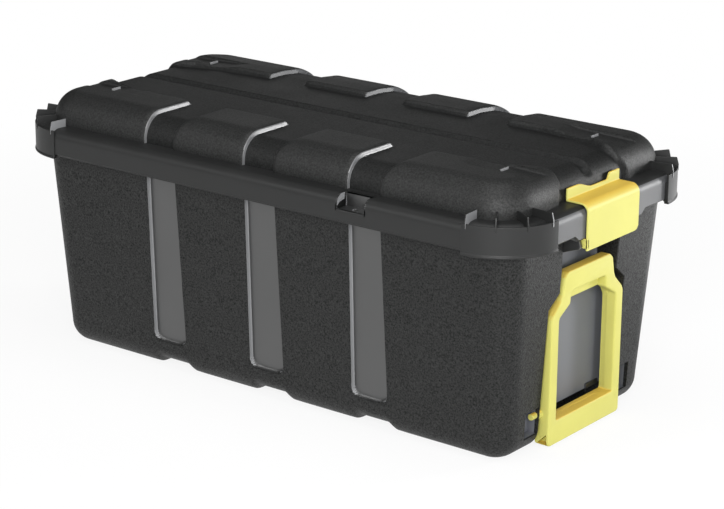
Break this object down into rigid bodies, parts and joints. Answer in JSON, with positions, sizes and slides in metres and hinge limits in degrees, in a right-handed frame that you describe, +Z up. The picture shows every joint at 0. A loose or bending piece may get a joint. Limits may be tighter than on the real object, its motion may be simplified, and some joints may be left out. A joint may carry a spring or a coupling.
{
  "type": "storage trunk",
  "caption": "Wheeled plastic storage trunk with a domed lift-off lid, snap-over end clips and a tow handle in a recess at one end.",
  "frame": {"origin": "centre of the footprint on the floor", "axes": "+X along the trunk to the tow handle's end, +Y to the back, +Z up"},
  "size_m": [1.002, 0.503, 0.4315],
  "materials": {
    "body_plastic": "fine grain",
    "clip_plastic": "satin gloss",
    "wheel_plastic": "satin",
    "pin_steel": "brushed"
  },
  "bodies": {
    "tub": {"tub": "body_plastic", "axle_front": "pin_steel", "axle_back": "pin_steel"},
    "lid": {"lid": "body_plastic"},
    "clip_near": {"clip_near": "clip_plastic"},
    "clip_far": {"clip_far": "clip_plastic"},
    "tow_handle": {"tow_handle": "clip_plastic"},
    "wheel_front": {"wheel_front": "wheel_plastic"},
    "wheel_back": {"wheel_back": "wheel_plastic"}
  },
  "joints": [
    {"name": "lid_lift", "type": "slide", "parent": "tub", "child": "lid", "axis": [0, 0, 1], "range_m": [0, 0.82]},
    {"name": "clip_near_hinge", "type": "hinge", "parent": "tub", "child": "clip_near", "pos_m": [0.4855, 0, 0.32], "axis": [0, 1, 0], "range_deg": [0, 100]},
    {"name": "clip_far_hinge", "type": "hinge", "parent": "tub", "child": "clip_far", "pos_m": [-0.4855, 0, 0.32], "axis": [0, -1, 0], "range_deg": [0, 100]},
    {"name": "handle_hinge", "type": "hinge", "parent": "tub", "child": "tow_handle", "pos_m": [0.44, 0, 0.055], "axis": [0, 1, 0], "range_deg": [0, 37]},
    {"name": "wheel_front_spin", "type": "hinge", "parent": "tub", "child": "wheel_front", "pos_m": [-0.424, -0.134, 0.033], "axis": [0, 1, 0], "continuous": true},
    {"name": "wheel_back_spin", "type": "hinge", "parent": "tub", "child": "wheel_back", "pos_m": [-0.424, 0.134, 0.033], "axis": [0, 1, 0], "continuous": true}
  ],
  "couplings": [
    {"joint": "clip_near_hinge", "follows": "lid_lift", "rad_per_m": 2.128},
    {"joint": "clip_far_hinge", "follows": "lid_lift", "rad_per_m": 2.128}
  ]
}
